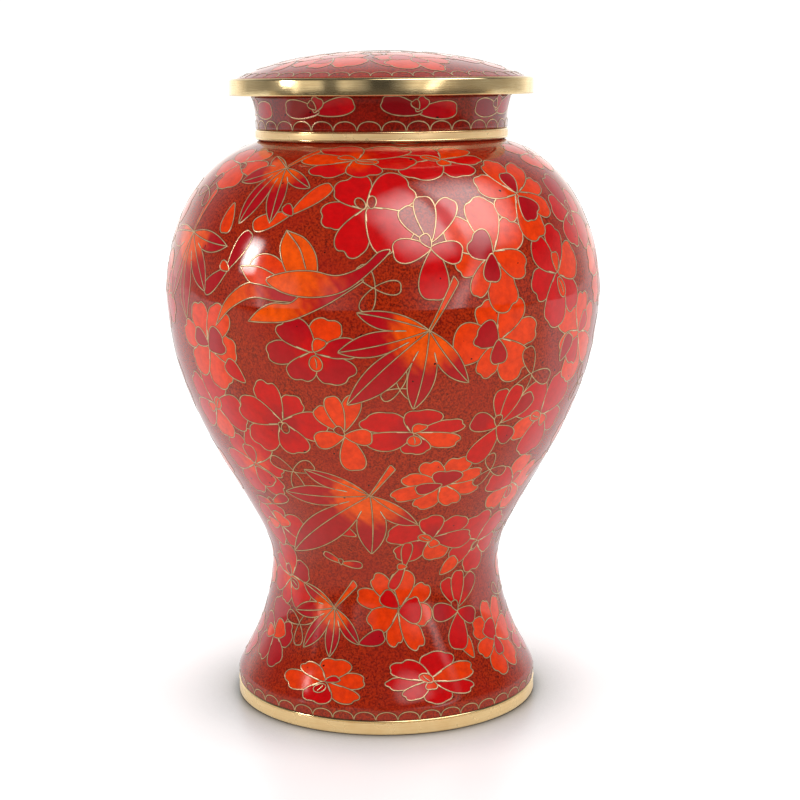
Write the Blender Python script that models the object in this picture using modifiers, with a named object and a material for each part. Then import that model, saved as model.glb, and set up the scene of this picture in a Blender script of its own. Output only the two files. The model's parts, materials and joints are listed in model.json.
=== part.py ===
"""A lidded cloisonne vase: a baluster body on a flared foot, closed by a domed screw lid.

Metres, +Z up, the origin at the centre of the foot's underside. Every piece is turned about
the Z axis. The copper body is made of hammered sections that are brazed edge to edge, a
layer of enamel covers it, and brass rings finish the foot, the neck, the mouth and the lid.
"""

import math

import bmesh
import bpy

# Turning: all turned pieces share one facet count, so that nested shells stay parallel.
SEGMENTS = 32
SHARP_ANGLE = math.radians(35)

# Thicknesses and clearances
COPPER = 0.0012
ENAMEL = 0.0010
LAYER_GAP = 0.00015
JOINT_GAP = 0.0002
FIT_GAP = 0.0003

# Driving heights
TOTAL_HEIGHT = 0.267
RIM_TOP = 0.2563
RIM_BOTTOM = 0.2495
MOUTH_TOP = 0.2496
NECK_RING_TOP = 0.2360
NECK_RING_BOTTOM = 0.2321
NECK_ROOT = 0.2319
BELLY_HEIGHT = 0.1707
FLANK_HEIGHT = 0.0925
WAIST_HEIGHT = 0.0572
LIP_HEIGHT = 0.0120
FOOT_RING_TOP = 0.0059

# Driving radii
RIM_RADIUS = 0.0618
NECK_TOP_RADIUS = 0.0529
NECK_RADIUS = 0.0510
NECK_RING_RADIUS = 0.0514
NECK_ROOT_RADIUS = 0.0497
BELLY_RADIUS = 0.0890
FLANK_RADIUS = 0.0622
WAIST_RADIUS = 0.0475
LIP_RADIUS = 0.0622
FOOT_RADIUS = 0.0631

# Slopes of the body's outline from the vertical, and the reach of the curve either side
LIP_SLOPE = math.radians(-32.4)
FLANK_SLOPE = math.radians(28.9)
NECK_ROOT_SLOPE = math.radians(-72.1)
FOOT_EDGE_REACH = 0.0036
LIP_REACH = (0.0018, 0.0270)
WAIST_REACH = (0.0008, 0.0103)
FLANK_REACH = (0.0189, 0.0085)
BELLY_REACH = (0.0365, 0.0078)
NECK_ROOT_REACH = 0.0385

# Where the neck's outline starts to flare and meets its top, as shares of its height and flare
NECK_SWELL = 0.4
NECK_FLARE = (0.3, 0.25)
NECK_RING_FACE = 0.0004

# Foot and base
FOOT_RING_INNER = 0.0580
FOOT_BEAD = 0.0009
FOOT_BEAD_PROUD = 0.0003
BASE_PLATE_BOTTOM = 0.0022
FELT_BOTTOM = 0.0008
FELT_THICKNESS = 0.0012

# Mouth ring and its thread
MOUTH_BORE = 0.0455
MOUTH_SLEEVE_BOTTOM = 0.2370
MOUTH_SLEEVE_WALL = 0.0027
MOUTH_FLANGE = 0.0009
MOUTH_FLANGE_RADIUS = 0.0515
THREAD_PITCH = 0.0030
THREAD_TURNS = 2
THREAD_RIDGE = 0.00095
LID_THREAD_START = 0.2402

# Lid
SEAL_INNER = 0.0466
SEAL_OUTER = 0.0510
SEAL_THICKNESS = 0.0008
COLLAR_RADIUS = 0.0442
COLLAR_WALL = 0.0018
COLLAR_BOTTOM = 0.2390
LINING_RADIUS = 0.0547
LINING_THICKNESS = 0.0010
DOME_RADIUS = 0.0590
DOME_EDGE = 0.2562
RIM_INNER = 0.0593
RIM_LEDGE = 0.2534
RIM_LEDGE_INNER = 0.0550
RIM_BEVEL = 0.0007
# Where the dome's outline turns, as shares of its radius and rise
DOME_SHOULDER = (0.79, 0.58)
DOME_CROWN = 0.465

# Colour, roughness and metallic value of each material
FINISHES = {
    "brass": ((0.80, 0.60, 0.32, 1), 0.25, 1.0),
    "copper": ((0.72, 0.38, 0.24, 1), 0.35, 1.0),
    "red_enamel": ((0.42, 0.03, 0.015, 1), 0.08, 0.0),
    "felt": ((0.05, 0.02, 0.02, 1), 0.95, 0.0),
    "cork": ((0.55, 0.38, 0.22, 1), 0.90, 0.0),
}


def clear_scene():
    for obj in list(bpy.data.objects):
        bpy.data.objects.remove(obj, do_unlink=True)


def collection(name, hidden=False):
    made = bpy.data.collections.new(name)
    bpy.context.scene.collection.children.link(made)
    made.hide_render = hidden
    return made


def material(name):
    colour, roughness, metallic = FINISHES[name]
    made = bpy.data.materials.new(name)
    made.use_nodes = True
    shader = made.node_tree.nodes["Principled BSDF"]
    shader.inputs["Base Color"].default_value = colour
    shader.inputs["Roughness"].default_value = roughness
    shader.inputs["Metallic"].default_value = metallic
    made.diffuse_color = colour
    return made


def axis_empty(name, height, group):
    """An empty on the vase's axis that carries the pieces of one body."""
    empty = bpy.data.objects.new(name, None)
    empty.location = (0, 0, height)
    empty.empty_display_size = 0.02
    group.objects.link(empty)
    return empty


def turned(name, profile, finish, parent, group):
    """A solid of revolution from (radius, height) points that run down its outer side.

    A profile that starts and ends on the axis stays open there, and any other is a loop.
    """
    on_axis = profile[0][0] == 0 and profile[-1][0] == 0
    low = min(height for _, height in profile)
    points = [(radius, 0, height - low) for radius, height in profile]
    edges = [(i, i + 1) for i in range(len(points) - 1)]
    if not on_axis:
        edges.append((len(points) - 1, 0))
    mesh = bpy.data.meshes.new(name)
    mesh.from_pydata(points, edges, [])
    obj = bpy.data.objects.new(name, mesh)
    group.objects.link(obj)
    screw = obj.modifiers.new("turn", "SCREW")
    screw.steps = SEGMENTS
    screw.render_steps = SEGMENTS
    screw.use_merge_vertices = True
    screw.merge_threshold = 1e-5
    graph = bpy.context.evaluated_depsgraph_get()
    solid = bpy.data.meshes.new_from_object(obj.evaluated_get(graph))
    obj.modifiers.clear()
    obj.data = solid
    solid.name = name
    solid.shade_smooth()
    solid.set_sharp_from_angle(angle=SHARP_ANGLE)
    solid.materials.append(finish)
    obj.parent = parent
    obj.location = (0, 0, low - parent.location.z)
    return obj


def bezier(start, start_handle, end_handle, end, count):
    """Points and unit tangents along a cubic curve, in (radius, height)."""
    samples = []
    for i in range(count + 1):
        t = i / count
        u = 1 - t
        weights = (u * u * u, 3 * u * u * t, 3 * u * t * t, t * t * t)
        slopes = (-u * u, u * u - 2 * u * t, 2 * u * t - t * t, t * t)
        poles = (start, start_handle, end_handle, end)
        point = [sum(w * pole[k] for w, pole in zip(weights, poles)) for k in (0, 1)]
        slope = [sum(w * pole[k] for w, pole in zip(slopes, poles)) for k in (0, 1)]
        length = math.hypot(*slope)
        samples.append((point, (slope[0] / length, slope[1] / length)))
    return samples


def stretch(lower, slope_low, reach_low, upper, slope_high, reach_high, count):
    """A rising stretch of the outline between two stations, each with its slope and reach."""
    leave = (
        lower[0] + reach_low * math.sin(slope_low),
        lower[1] + reach_low * math.cos(slope_low),
    )
    arrive = (
        upper[0] - reach_high * math.sin(slope_high),
        upper[1] - reach_high * math.cos(slope_high),
    )
    return bezier(lower, leave, arrive, upper, count)


def body_outline():
    """The body's outer outline as three rising stretches: foot, lower body, upper body."""
    foot_edge = (FOOT_RADIUS - FOOT_BEAD_PROUD, FOOT_RING_TOP + JOINT_GAP)
    lip = (LIP_RADIUS, LIP_HEIGHT)
    waist = (WAIST_RADIUS, WAIST_HEIGHT)
    flank = (FLANK_RADIUS, FLANK_HEIGHT)
    belly = (BELLY_RADIUS, BELLY_HEIGHT)
    root = (NECK_ROOT_RADIUS, NECK_ROOT)
    foot = stretch(foot_edge, 0, FOOT_EDGE_REACH, lip, LIP_SLOPE, LIP_REACH[0], 3)
    foot += stretch(lip, LIP_SLOPE, LIP_REACH[1], waist, 0, WAIST_REACH[0], 5)[1:]
    lower = stretch(waist, 0, WAIST_REACH[1], flank, FLANK_SLOPE, FLANK_REACH[0], 4)
    lower += stretch(flank, FLANK_SLOPE, FLANK_REACH[1], belly, 0, BELLY_REACH[0], 4)[1:]
    upper = stretch(belly, 0, BELLY_REACH[1], root, NECK_ROOT_SLOPE, NECK_ROOT_REACH, 9)
    return foot, lower, upper


def neck_outline():
    low = (NECK_RADIUS, NECK_RING_TOP + LAYER_GAP)
    high = (NECK_TOP_RADIUS, MOUTH_TOP - JOINT_GAP)
    height = high[1] - low[1]
    swell = (NECK_RADIUS, low[1] + NECK_SWELL * height)
    across = NECK_TOP_RADIUS - NECK_RADIUS
    flare = (NECK_RADIUS + NECK_FLARE[0] * across, high[1] - NECK_FLARE[1] * height)
    return bezier(low, swell, flare, high, 3)


def dome_outline(count=6):
    """The dome's outer outline, rising from its edge to the apex on the axis."""
    rise = TOTAL_HEIGHT - DOME_EDGE
    edge = (DOME_RADIUS, DOME_EDGE)
    shoulder = (DOME_SHOULDER[0] * DOME_RADIUS, DOME_EDGE + DOME_SHOULDER[1] * rise)
    crown = (DOME_CROWN * DOME_RADIUS, TOTAL_HEIGHT)
    return bezier(edge, shoulder, crown, (0, TOTAL_HEIGHT), count)


def inward(outline, depth):
    """The points of a rising outline, moved square to it by depth towards the inside."""
    return [
        (max(point[0] - depth * tangent[1], 0), point[1] + depth * tangent[0])
        for point, tangent in outline
    ]


def shell(outline, outer_depth, thickness, low=None, high=None):
    """A closed profile between two depths under an outline, cut level at low and at high."""
    outer = inward(outline, outer_depth)
    inner = inward(outline, outer_depth + thickness)
    for side in (outer, inner):
        if low is not None:
            side[0] = slide_to(low, side[0], side[1])
        if high is not None:
            side[-1] = slide_to(high, side[-1], side[-2])
    return outer[::-1] + inner


def slide_to(height, end, neighbour):
    """The point at a height on the line through an end point and its neighbour."""
    share = (height - neighbour[1]) / (end[1] - neighbour[1])
    return (neighbour[0] + share * (end[0] - neighbour[0]), height)


def helix_ridge(name, radius, bottom, guides):
    """A right-handed V-shaped thread ridge centred on a cylinder, as a closed mesh."""
    curve = bpy.data.curves.new(name, "CURVE")
    curve.dimensions = "3D"
    curve.twist_mode = "Z_UP"
    curve.bevel_depth = THREAD_RIDGE
    curve.bevel_resolution = 0
    curve.use_fill_caps = True
    count = THREAD_TURNS * SEGMENTS
    spline = curve.splines.new("POLY")
    spline.points.add(count)
    for i, point in enumerate(spline.points):
        turn = i / SEGMENTS
        angle = 2 * math.pi * turn
        point.co = (
            radius * math.cos(angle),
            radius * math.sin(angle),
            bottom + THREAD_PITCH * turn,
            1,
        )
    guide = bpy.data.objects.new(name + "_path", curve)
    guides.objects.link(guide)
    graph = bpy.context.evaluated_depsgraph_get()
    mesh = bpy.data.meshes.new_from_object(guide.evaluated_get(graph))
    bpy.data.objects.remove(guide, do_unlink=True)
    weld(mesh)
    ridge = bpy.data.objects.new(name, mesh)
    ridge.hide_render = True
    ridge.display_type = "WIRE"
    guides.objects.link(ridge)
    return ridge


def weld(mesh):
    """Joins a curve's loose caps to its tube and turns the faces out."""
    work = bmesh.new()
    work.from_mesh(mesh)
    bmesh.ops.remove_doubles(work, verts=work.verts, dist=1e-6)
    bmesh.ops.recalc_face_normals(work, faces=work.faces)
    work.to_mesh(mesh)
    work.free()


def add_ridge(obj, ridge):
    join = obj.modifiers.new("thread", "BOOLEAN")
    join.operation = "UNION"
    join.solver = "EXACT"
    join.object = ridge


def build_foot(materials, parent, group):
    ring = [
        (FOOT_RING_INNER, FOOT_RING_TOP),
        (FOOT_RADIUS, FOOT_RING_TOP),
        (FOOT_RADIUS, FOOT_RING_TOP - FOOT_BEAD),
        (FOOT_RADIUS - FOOT_BEAD_PROUD, FOOT_RING_TOP - FOOT_BEAD),
        (FOOT_RADIUS - 2 * FOOT_BEAD_PROUD, 0),
        (FOOT_RING_INNER, 0),
    ]
    turned("foot_ring", ring, materials["brass"], parent, group)
    plate_radius = FOOT_RING_INNER - FIT_GAP
    disc("base_plate", plate_radius, BASE_PLATE_BOTTOM, COPPER, materials["copper"], parent, group)
    disc("base_felt", plate_radius, FELT_BOTTOM, FELT_THICKNESS, materials["felt"], parent, group)


def disc(name, radius, bottom, thickness, finish, parent, group):
    top = bottom + thickness
    profile = [(0, top), (radius, top), (radius, bottom), (0, bottom)]
    turned(name, profile, finish, parent, group)


def build_body(materials, parent, group):
    """Three copper sections with brazed seams, under one continuous coat of enamel."""
    foot, lower, upper = body_outline()
    depth = ENAMEL + LAYER_GAP
    half_seam = JOINT_GAP / 2
    below_waist, above_waist = WAIST_HEIGHT - half_seam, WAIST_HEIGHT + half_seam
    below_belly, above_belly = BELLY_HEIGHT - half_seam, BELLY_HEIGHT + half_seam
    sections = {
        "foot_shell": shell(foot, depth, COPPER, high=below_waist),
        "lower_body_shell": shell(lower, depth, COPPER, above_waist, below_belly),
        "upper_body_shell": shell(upper, depth, COPPER, low=above_belly),
    }
    for name, profile in sections.items():
        turned(name, profile, materials["copper"], parent, group)
    coat = foot + lower[1:] + upper[1:]
    turned("body_enamel", shell(coat, 0, ENAMEL), materials["red_enamel"], parent, group)


def build_neck(materials, parent, group):
    neck = neck_outline()
    coat = shell(neck, 0, ENAMEL, high=MOUTH_TOP - JOINT_GAP)
    turned("neck_enamel", coat, materials["red_enamel"], parent, group)
    depth = ENAMEL + LAYER_GAP
    tube = shell(neck, depth, COPPER, high=MOUTH_TOP - MOUTH_FLANGE - JOINT_GAP)
    foot_of_tube = NECK_RING_BOTTOM - JOINT_GAP
    straight = NECK_RADIUS - depth
    tube.insert(len(neck), (straight, foot_of_tube))
    tube.insert(len(neck) + 1, (straight - COPPER, foot_of_tube))
    turned("neck_shell", tube, materials["copper"], parent, group)
    inner = NECK_RADIUS - ENAMEL
    chamfer = NECK_RING_RADIUS - inner - NECK_RING_FACE
    ring = [
        (inner, NECK_RING_TOP),
        (NECK_RING_RADIUS, NECK_RING_TOP),
        (NECK_RING_RADIUS, NECK_RING_BOTTOM + chamfer),
        (NECK_RING_RADIUS - chamfer, NECK_RING_BOTTOM),
        (inner, NECK_RING_BOTTOM),
    ]
    turned("neck_ring", ring, materials["brass"], parent, group)


def build_mouth(materials, parent, group, guides):
    """The flanged brass ring in the neck, with the female thread in its bore."""
    under_flange = MOUTH_TOP - MOUTH_FLANGE
    sleeve = MOUTH_BORE + MOUTH_SLEEVE_WALL
    profile = [
        (MOUTH_BORE, MOUTH_TOP),
        (MOUTH_FLANGE_RADIUS, MOUTH_TOP),
        (MOUTH_FLANGE_RADIUS, under_flange),
        (sleeve, under_flange),
        (sleeve, MOUTH_SLEEVE_BOTTOM),
        (MOUTH_BORE, MOUTH_SLEEVE_BOTTOM),
    ]
    ring = turned("mouth_ring", profile, materials["brass"], parent, group)
    start = LID_THREAD_START + THREAD_PITCH / 2
    add_ridge(ring, helix_ridge("mouth_thread_ridge", MOUTH_BORE, start, guides))


def build_seal(materials, parent, group):
    low = MOUTH_TOP + JOINT_GAP
    high = low + SEAL_THICKNESS
    washer = [(SEAL_INNER, high), (SEAL_OUTER, high), (SEAL_OUTER, low), (SEAL_INNER, low)]
    turned("lid_seal", washer, materials["cork"], parent, group)


def build_lid(materials, parent, group, guides):
    dome = dome_outline()
    turned("lid_enamel", dome_shell(dome, 0, ENAMEL), materials["red_enamel"], parent, group)
    under = dome_shell(dome, ENAMEL + LAYER_GAP, COPPER)
    turned("lid_dome", under, materials["copper"], parent, group)
    rim = [
        (RIM_INNER, RIM_TOP),
        (RIM_RADIUS - RIM_BEVEL, RIM_TOP),
        (RIM_RADIUS, RIM_TOP - RIM_BEVEL),
        (RIM_RADIUS, RIM_BOTTOM + RIM_BEVEL / 2),
        (RIM_RADIUS - RIM_BEVEL / 2, RIM_BOTTOM),
        (RIM_LEDGE_INNER, RIM_BOTTOM),
        (RIM_LEDGE_INNER, RIM_LEDGE),
        (RIM_INNER, RIM_LEDGE),
    ]
    turned("lid_rim", rim, materials["brass"], parent, group)
    lining_bottom = MOUTH_TOP + SEAL_THICKNESS + 2 * JOINT_GAP
    disc(
        "lid_lining", LINING_RADIUS, lining_bottom, LINING_THICKNESS,
        materials["brass"], parent, group,
    )
    build_collar(lining_bottom - JOINT_GAP, materials, parent, group, guides)


def build_collar(top, materials, parent, group, guides):
    """The brass collar under the lid, with the male thread on its outside."""
    inner = COLLAR_RADIUS - COLLAR_WALL
    profile = [
        (COLLAR_RADIUS, top),
        (COLLAR_RADIUS, COLLAR_BOTTOM),
        (inner, COLLAR_BOTTOM),
        (inner, top),
    ]
    collar = turned("lid_collar", profile, materials["brass"], parent, group)
    ridge = helix_ridge("lid_thread_ridge", COLLAR_RADIUS, LID_THREAD_START, guides)
    add_ridge(collar, ridge)


def dome_shell(outline, outer_depth, thickness):
    """A profile between two depths under the dome, open on the axis at both ends."""
    outer = inward(outline, outer_depth)
    inner = inward(outline, outer_depth + thickness)
    outer[-1] = (0, outer[-1][1])
    inner[-1] = (0, inner[-1][1])
    return outer[::-1] + inner


def main():
    clear_scene()
    vase = collection("cloisonne_vase")
    guides = collection("cutters", hidden=True)
    materials = {name: material(name) for name in FINISHES}
    body_axis = axis_empty("body_axis", 0, vase)
    seal_axis = axis_empty("seal_axis", MOUTH_TOP, vase)
    lid_axis = axis_empty("lid_axis", MOUTH_TOP, vase)
    bpy.context.view_layer.update()
    build_foot(materials, body_axis, vase)
    build_body(materials, body_axis, vase)
    build_neck(materials, body_axis, vase)
    build_mouth(materials, body_axis, vase, guides)
    build_seal(materials, seal_axis, vase)
    build_lid(materials, lid_axis, vase, guides)
    bpy.context.view_layer.update()


main()
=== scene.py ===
"""Cloisonne vase with a screw lid, seen standing on a pale floor.

The CAD pieces carry the shape and the motion. This script lays finely turned surfaces over them and
draws the cloisonne pattern: closed outlines of brass wire with coloured enamel inside. A motif is drawn
flat, in mm, then spread over the wall. Of two motifs that meet, the one put down first covers the other.
"""

import json
import math
import random

import bmesh
import bpy
import numpy as np
from mathutils import Matrix, Vector
from mathutils.geometry import delaunay_2d_cdt

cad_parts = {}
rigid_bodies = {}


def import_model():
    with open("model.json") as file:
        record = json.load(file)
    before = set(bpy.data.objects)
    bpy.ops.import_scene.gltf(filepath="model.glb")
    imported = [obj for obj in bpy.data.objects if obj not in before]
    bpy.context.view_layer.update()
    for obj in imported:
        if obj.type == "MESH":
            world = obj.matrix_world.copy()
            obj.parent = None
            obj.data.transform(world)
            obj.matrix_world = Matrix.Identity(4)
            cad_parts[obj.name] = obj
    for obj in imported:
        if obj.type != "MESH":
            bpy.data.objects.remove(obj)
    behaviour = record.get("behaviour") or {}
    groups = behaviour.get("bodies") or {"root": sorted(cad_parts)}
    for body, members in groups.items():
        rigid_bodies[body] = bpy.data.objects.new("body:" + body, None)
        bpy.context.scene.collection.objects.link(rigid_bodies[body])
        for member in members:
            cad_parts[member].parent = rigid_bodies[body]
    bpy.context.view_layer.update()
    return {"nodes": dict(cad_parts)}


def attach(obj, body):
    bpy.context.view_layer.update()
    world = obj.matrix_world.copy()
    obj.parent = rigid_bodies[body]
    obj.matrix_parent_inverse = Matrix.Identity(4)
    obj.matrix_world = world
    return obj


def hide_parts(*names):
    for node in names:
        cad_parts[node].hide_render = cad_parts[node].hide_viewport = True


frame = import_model()

MM = 0.001  # metres in a millimetre: the pattern below is in mm, the scene in metres
SEGMENTS = 288  # around a turned surface
RING_STEP = 1.2  # mm between the rings of a turned surface
OUTLINE_STEP = 0.1  # mm between the stations of a wall's outline

WIRE_STEP = 0.7  # mm between the sections of a wire
FILL_STEP = 2.2  # mm between the points inside a fill
FILL_LIFT = 0.045  # mm a fill stands over the ground enamel
# Across a wire: how far to the side, how far over the ground enamel (mm), and the share of brass
WIRE_SECTION = (
    (-0.33, 0.050, 0.0),
    (-0.20, 0.070, 0.2),
    (-0.14, 0.100, 1.0),
    (0.00, 0.110, 1.0),
    (0.14, 0.100, 1.0),
    (0.20, 0.070, 0.2),
    (0.33, 0.050, 0.0),
)
WIRE_END = 0.35  # how much of its width a wire keeps at a free end
WIRE_ROUNDING = 0.9  # how far a wire's normals lean outward, for each mm to the side

COAT_THICKNESS = 0.9  # mm of enamel

# Sections of the turned brass pieces: corners as radius and height in mm
FOOT_BAND = ((58, 0), (62.5, 0), (63.0, 0.5), (62.9, 4.9), (62.2, 5.2), (58, 5.2))
NECK_BAND = ((50.0, 232.1), (50.9, 232.1), (51.3, 232.5), (51.3, 235.8), (50.9, 236), (50.0, 236))
RIM_BAND = ((59.3, 256.3), (61.1, 256.3), (61.8, 255.6), (61.8, 249.9), (61.4, 249.5), (55, 249.5),
            (55, 253.4), (59.3, 253.4))
MOUTH = ((45.5, 237.0), (48.2, 237.0), (48.2, 248.7), (51.5, 248.7), (51.5, 249.6), (45.5, 249.6))
COLLAR = ((42.4, 239.0), (44.2, 239.0), (44.2, 250.6), (42.4, 250.6))
# Polished beads beside the bands: name, then radius, height and half thickness in mm
BEADS = (
    ("foot_bead", 62.6, 5.4, 0.5),
    ("neck_bead_high", 51.05, 235.6, 0.4),
    ("neck_bead_low", 51.05, 232.6, 0.4),
)

THREAD_PITCH = 3.0  # mm
THREAD_TURNS = 2
THREAD_RIDGE = 0.95  # mm that a thread stands out from its wall, and half its thickness there
THREAD_RUNOUT = 20  # steps over which a thread rises from the sleeve at each end
# Across a thread: shares of THREAD_RIDGE outward and upward
THREAD_SECTION = ((1, -0.12), (1, 0.12), (0, 1), (-1, 0), (0, -1))
LID_THREAD_START = 240.2  # mm high
MOUTH_THREAD_START = LID_THREAD_START + THREAD_PITCH / 2

# The body is drawn in zones from the top down: name and the height (mm) of the lower edge
ZONES = (("shoulder", 190.0), ("belly", 140.0), ("flank", 80.0), ("foot", 0.0))


def shade(red, green, blue):
    """A display colour from 0 to 255 as linear light."""
    return tuple(
        c / 255 / 12.92 if c <= 10 else ((c / 255 + 0.055) / 1.055) ** 2.4
        for c in (red, green, blue)
    )


ORANGE = shade(236, 60, 2)
RED = shade(204, 3, 7)
CRIMSON = shade(174, 8, 22)
AMBER = shade(242, 84, 3)
WINE = shade(132, 5, 16)
GROUND = None  # a cell left to the ground enamel
WIRE_OUTLINE = shade(222, 180, 132)
# Painted sheen: free inner wires are the same brass drawn in a lighter tone, as where wires tilt to the light
WIRE_PAINTED_SHEEN = shade(252, 226, 180)
# Dark seam beside each wire: partly a real seam, partly painted shade along the wire's edges
WIRE_SEAM_AND_SHADE = shade(50, 18, 10)


# ---------------- turned surfaces


def read(curve, along, stations):
    """The points of a curve at the stations, where along holds the way to each of its own points."""
    return np.column_stack([np.interp(stations, along, curve[:, k]) for k in (0, 1)])


def unit(vectors):
    """The vectors, one or a row of them, at length 1."""
    return vectors / np.maximum(np.linalg.norm(vectors, axis=-1, keepdims=True), 1e-6)


def smooth(points):
    """A Catmull-Rom curve through the points, at even steps of OUTLINE_STEP."""
    points = np.array(points, float)
    ends = np.vstack([2 * points[0] - points[1], points, 2 * points[-1] - points[-2]])
    gaps = np.sqrt(np.linalg.norm(np.diff(ends, axis=0), axis=1))
    knots = np.concatenate([[0], np.cumsum(gaps)])
    curve = [points[:1]]
    for i in range(1, len(ends) - 2):
        t = np.linspace(knots[i], knots[i + 1], 24)[1:, None]
        curve.append(catmull_rom(ends[i - 1 : i + 3], knots[i - 1 : i + 3], t))
    curve = np.vstack(curve)
    along = arc_length(curve)
    count = max(2, int(along[-1] / OUTLINE_STEP))
    return read(curve, along, np.linspace(0, along[-1], count))


def catmull_rom(points, knots, t):
    """The stretch between the two middle points of four."""

    def between(first, second, start, end):
        return ((end - t) * first + (t - start) * second) / (end - start)

    one, two, three = (between(points[i], points[i + 1], knots[i], knots[i + 1]) for i in range(3))
    left = between(one, two, knots[0], knots[2])
    right = between(two, three, knots[1], knots[3])
    return between(left, right, knots[1], knots[2])


def arc_length(points):
    """The way along the points to each of them."""
    return np.concatenate([[0], np.cumsum(np.linalg.norm(np.diff(points, axis=0), axis=1))])


def side_skin(radial, rise):
    """Whether a face is on the outside of a wall, from its normal's parts away from the axis and up."""
    return radial > 0.2


def top_skin(radial, rise):
    """Whether a face is on the outside of a cap."""
    return rise > 0.2 and radial > -0.01


def cad_outline(name, is_outside):
    """The (radius, height) points in mm, bottom first, of a CAD piece's outer skin."""
    mesh = frame["nodes"][name].data
    found = set()
    for face in mesh.polygons:
        centre = face.center
        from_axis = max(math.hypot(centre.x, centre.y), 1e-6)
        radial = (face.normal.x * centre.x + face.normal.y * centre.y) / from_axis
        if not is_outside(radial, face.normal.z):
            continue
        for index in face.vertices:
            x, y, z = mesh.vertices[index].co
            found.add((round(math.hypot(x, y) / MM, 2), round(z / MM, 2)))
    return sorted(found, key=lambda point: point[1])


class Wall:
    """A turned wall. Its coordinates are the bearing in radians, from the front, and mm along the outline."""

    def __init__(self, outline):
        self.outline = smooth(outline)
        self.along = arc_length(self.outline)
        slope = unit(np.gradient(self.outline, axis=0))
        self.normal = np.column_stack([slope[:, 1], -slope[:, 0]])

    def station(self, height):
        return float(np.interp(height, self.outline[:, 1], self.along))

    def radius(self, station):
        return np.interp(station, self.along, self.outline[:, 0])

    def spread(self, points, bearing, station):
        """Flat points in mm round a place on the wall, as wall coordinates."""
        stations = station + points[:, 1]
        return np.column_stack([bearing + points[:, 0] / self.radius(stations), stations])

    def gather(self, coords, bearing, station):
        """Wall coordinates as flat points in mm round a place on the wall."""
        turns = (coords[:, 0] - bearing + math.pi) % (2 * math.pi) - math.pi
        return np.column_stack([turns * self.radius(coords[:, 1]), coords[:, 1] - station])

    def surface(self, coords):
        """Positions in mm and outward normals at the coordinates."""
        radius, height = read(self.outline, self.along, coords[:, 1]).T
        lean, rise = read(self.normal, self.along, coords[:, 1]).T
        sine, cosine = np.sin(coords[:, 0]), np.cos(coords[:, 0])
        spots = np.column_stack([radius * sine, -radius * cosine, height])
        return spots, np.column_stack([lean * sine, -lean * cosine, rise])


class Dome(Wall):
    """A turned cap. Its coordinates are x and y in mm; the flat pattern's up is towards the middle."""

    def station(self, height):
        """A cap is drawn by the distance from its axis."""
        return height

    def spread(self, points, bearing, station):
        across, out = points[:, 0], station - points[:, 1]
        sine, cosine = math.sin(bearing), math.cos(bearing)
        return np.column_stack([across * cosine + out * sine, across * sine - out * cosine])

    def gather(self, coords, bearing, station):
        sine, cosine = math.sin(bearing), math.cos(bearing)
        across = coords[:, 0] * cosine + coords[:, 1] * sine
        out = coords[:, 0] * sine - coords[:, 1] * cosine
        return np.column_stack([across, station - out])

    def surface(self, coords):
        radius = np.hypot(coords[:, 0], coords[:, 1])
        outline, normal = self.outline[::-1], self.normal[::-1]
        height = np.interp(radius, outline[:, 0], outline[:, 1])
        lean, rise = read(normal, outline[:, 0], radius).T
        normals = np.column_stack([unit(coords) * lean[:, None], rise])
        return np.column_stack([coords, height]), normals


def new_object(name, mesh, material):
    """An object in the scene that shows the mesh in the material."""
    mesh.materials.append(material)
    obj = bpy.data.objects.new(name, mesh)
    bpy.context.scene.collection.objects.link(obj)
    return obj


def quads(rows, columns, round_rows=False, round_columns=False, flip=False):
    """Faces over a grid of points stored row by row; round ones close on themselves."""
    faces = []
    for row in range(rows if round_rows else rows - 1):
        low, high = row * columns, (row + 1) % rows * columns
        for k in range(columns if round_columns else columns - 1):
            after = (k + 1) % columns
            near, far = (high + k, low + after) if flip else (low + after, high + k)
            faces.append((low + k, near, high + after, far))
    return faces


def turned(name, outline, material, closed=False):
    """The outline, in mm and bottom first, turned round the axis; a closed one may run either way."""
    outline = np.array(outline, float)
    follow = np.roll(outline, -1, axis=0)
    if closed and (outline[:, 0] * follow[:, 1] - follow[:, 0] * outline[:, 1]).sum() < 0:
        outline = outline[::-1]
    angles = np.arange(SEGMENTS) * 2 * math.pi / SEGMENTS
    spots = [
        (r * math.sin(a) * MM, -r * math.cos(a) * MM, z * MM) for r, z in outline for a in angles
    ]
    mesh = bpy.data.meshes.new(name)
    mesh.from_pydata(spots, [], quads(len(outline), SEGMENTS, closed, True))
    mesh.shade_smooth()
    return new_object(name, mesh, material)


def rounded(corners, radius):
    """A closed outline with its corners cut by three small facets, so that edges catch the light."""
    out = []
    count = len(corners)
    for i, corner in enumerate(corners):
        corner = np.array(corner, float)
        before = np.array(corners[i - 1], float) - corner
        after = np.array(corners[(i + 1) % count], float) - corner
        cut = min(radius, np.linalg.norm(before) / 2.2, np.linalg.norm(after) / 2.2)
        start, end = corner + unit(before) * cut, corner + unit(after) * cut
        for t in (0, 0.33, 0.67, 1):
            out.append((1 - t) ** 2 * start + 2 * t * (1 - t) * corner + t * t * end)
    return out


# ---------------- flat motifs, in mm


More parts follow.
